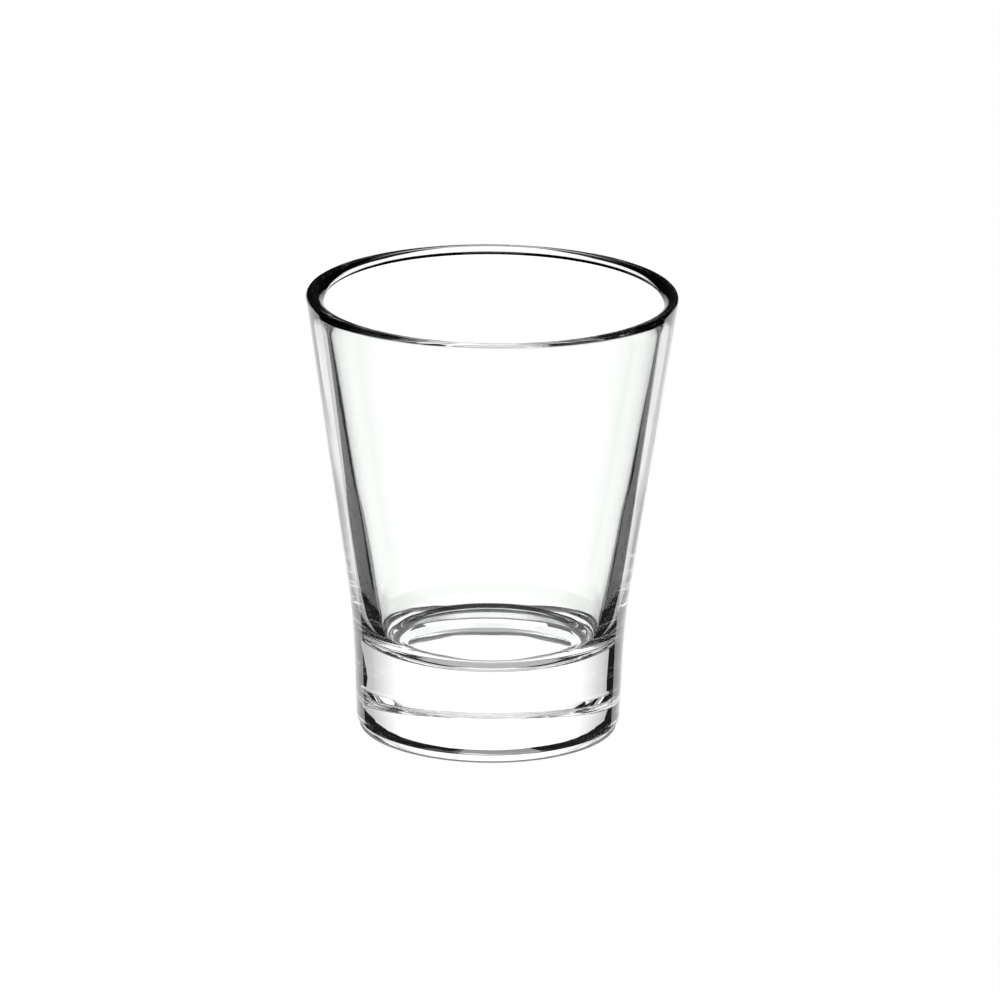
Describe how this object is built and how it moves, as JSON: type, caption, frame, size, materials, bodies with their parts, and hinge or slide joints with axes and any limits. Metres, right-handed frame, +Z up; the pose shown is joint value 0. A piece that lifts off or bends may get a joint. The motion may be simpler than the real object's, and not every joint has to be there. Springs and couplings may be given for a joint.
{
  "type": "coffee glass",
  "caption": "Small clear coffee glass: straight flared wall with a rounded rim over a thick solid base, for espresso and short coffees.",
  "frame": {"origin": "on the glass's axis, on the plane of the ring that it stands on", "axes": "+Z up along the axis of revolution, from the base to the rim; +X and +Y are any two radii"},
  "size_m": [0.06, 0.06, 0.0726],
  "materials": {
    "clear_glass": "fire-polished pressed soda-lime glass, clear and smooth"
  },
  "bodies": {
    "root": {"glass": "clear_glass"}
  },
  "joints": []
}
